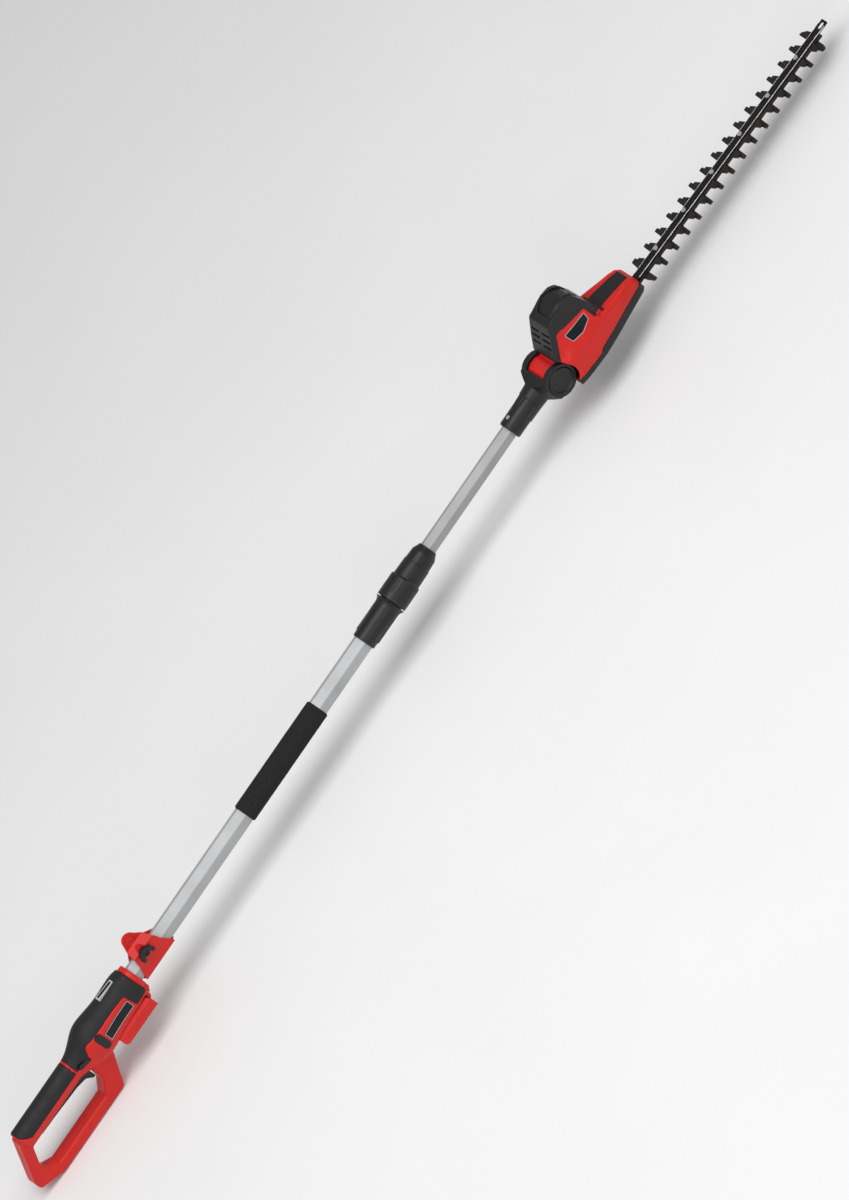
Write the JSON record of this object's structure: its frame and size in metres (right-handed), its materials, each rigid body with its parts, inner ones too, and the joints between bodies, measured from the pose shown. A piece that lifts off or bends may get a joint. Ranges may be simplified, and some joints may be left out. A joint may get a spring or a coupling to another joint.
{
  "type": "pole hedge trimmer",
  "caption": "Cordless telescopic pole hedge trimmer with a D-handle, foam grip, sliding strap eye, twist clamp and a tilting motor head with double-sided reciprocating blades.",
  "frame": {"origin": "pole axis at the middle of the foam grip", "axes": "+X along the pole to the blade tip, +Z the side that faces up in use, +Y the operator's left"},
  "size_m": [1.8311, 0.077, 0.1584],
  "materials": {
    "red_housing": "satin",
    "soft_black": "soft matte",
    "black_plastic": "fine texture",
    "dark_plate": "gloss",
    "grey_frame": "satin",
    "outer_aluminium": "anodised satin",
    "inner_aluminium": "anodised satin",
    "foam": "closed-cell foam",
    "cable": "matte",
    "steel": "zinc plated",
    "brass": "plain",
    "board": "plain",
    "bar_steel": "satin",
    "blade_steel": "oiled dark steel"
  },
  "bodies": {
    "handle": {"handle_shell_right": "red_housing", "handle_shell_left": "red_housing", "grip_sleeve": "soft_black", "body_cover": "soft_black", "handle_screws": "steel", "side_plugs": "black_plastic", "side_plates": "dark_plate", "window_frame": "grey_frame", "window_lens": "dark_plate", "pole_collar": "red_housing", "battery_dock": "red_housing", "terminal_block": "black_plastic", "terminal_blades": "brass", "trigger_pin": "steel", "trigger_spring": "steel", "switch_box": "black_plastic", "lock_spring": "steel", "control_board": "board", "outer_tube": "outer_aluminium", "guide_bush": "black_plastic", "coiled_cable": "cable", "foam_grip": "foam", "clamp_sleeve": "black_plastic", "clamp_collet": "black_plastic"},
    "trigger": {"trigger": "black_plastic"},
    "lock_button": {"lock_off_button": "black_plastic"},
    "strap_bracket": {"bracket_front": "red_housing", "bracket_rear": "red_housing", "bracket_pad": "soft_black", "bracket_bolt": "bar_steel"},
    "wing_nut": {"wing_nut": "black_plastic"},
    "clamp_nut": {"clamp_nut": "black_plastic"},
    "inner_pole": {"inner_tube": "inner_aluminium", "slide_plug": "black_plastic", "fork_neck": "black_plastic", "fork_cap": "black_plastic", "button_spring": "steel", "pivot_pin": "steel", "neck_screws": "steel"},
    "tilt_button": {"tilt_button": "black_plastic"},
    "head": {"head_housing_right": "red_housing", "head_housing_left": "red_housing", "motor_cover": "black_plastic", "head_panels": "black_plastic", "head_plates": "dark_plate", "skid_base": "black_plastic", "housing_screws": "steel", "detent_ring": "steel", "motor_can": "steel", "motor_bearing": "steel", "gear_case": "inner_aluminium", "gear_shaft": "steel", "guide_bar": "bar_steel", "blade_fasteners": "steel"},
    "rotor": {"rotor": "steel", "cooling_fan": "black_plastic", "pinion": "steel"},
    "drive_gear": {"drive_gear": "steel"},
    "upper_blade": {"upper_blade": "blade_steel"},
    "lower_blade": {"lower_blade": "blade_steel"}
  },
  "joints": [
    {"name": "telescope", "type": "slide", "parent": "handle", "child": "inner_pole", "axis": [1, 0, 0], "range_m": [0, 0.44], "deforming": ["coiled_cable"]},
    {"name": "clamp_nut_turn", "type": "hinge", "parent": "handle", "child": "clamp_nut", "pos_m": [0.29, 0, 0], "axis": [1, 0, 0], "range_deg": [0, 90]},
    {"name": "trigger_pull", "type": "hinge", "parent": "handle", "child": "trigger", "pos_m": [-0.57, 0, -0.0135], "axis": [0, -1, 0], "range_deg": [0, 2.6], "stiffness_Nm_per_rad": 2, "springref_deg": -2.86, "deforming": ["trigger_spring"]},
    {"name": "lock_off_press", "type": "slide", "parent": "handle", "child": "lock_button", "axis": [0, 1, 0], "range_m": [0, 0.0025], "stiffness_N_per_m": 600, "springref_m": -0.001, "deforming": ["lock_spring"]},
    {"name": "bracket_slide", "type": "slide", "parent": "handle", "child": "strap_bracket", "axis": [1, 0, 0], "range_m": [0, 0.17]},
    {"name": "wing_nut_turn", "type": "hinge", "parent": "strap_bracket", "child": "wing_nut", "pos_m": [-0.305, -0.02, 0.023], "axis": [0, -1, 0], "range_deg": [-180, 180]},
    {"name": "head_tilt", "type": "hinge", "parent": "inner_pole", "child": "head", "pos_m": [0.613, 0, 0], "axis": [0, 1, 0], "range_deg": [-60, 70]},
    {"name": "tilt_button_press", "type": "slide", "parent": "inner_pole", "child": "tilt_button", "axis": [0, 1, 0], "range_m": [0, 0.0024], "stiffness_N_per_m": 900, "springref_m": -0.001, "deforming": ["button_spring"]},
    {"name": "rotor_spin", "type": "hinge", "parent": "head", "child": "rotor", "pos_m": [0.69095, 0, -0.00286], "axis": [0.0366, 0, 0.9993], "continuous": true},
    {"name": "gear_spin", "type": "hinge", "parent": "head", "child": "drive_gear", "pos_m": [0.71793, 0, -0.00385], "axis": [0.0366, 0, 0.9993], "continuous": true},
    {"name": "upper_blade_slide", "type": "slide", "parent": "head", "child": "upper_blade", "axis": [0.9993, 0, -0.0366], "range_m": [-0.0055, 0.0055]},
    {"name": "lower_blade_slide", "type": "slide", "parent": "head", "child": "lower_blade", "axis": [0.9993, 0, -0.0366], "range_m": [-0.0055, 0.0055]}
  ],
  "couplings": [
    {"joint": "gear_spin", "follows": "rotor_spin", "ratio": -0.2},
    {"joint": "lower_blade_slide", "follows": "upper_blade_slide", "ratio": -1}
  ]
}
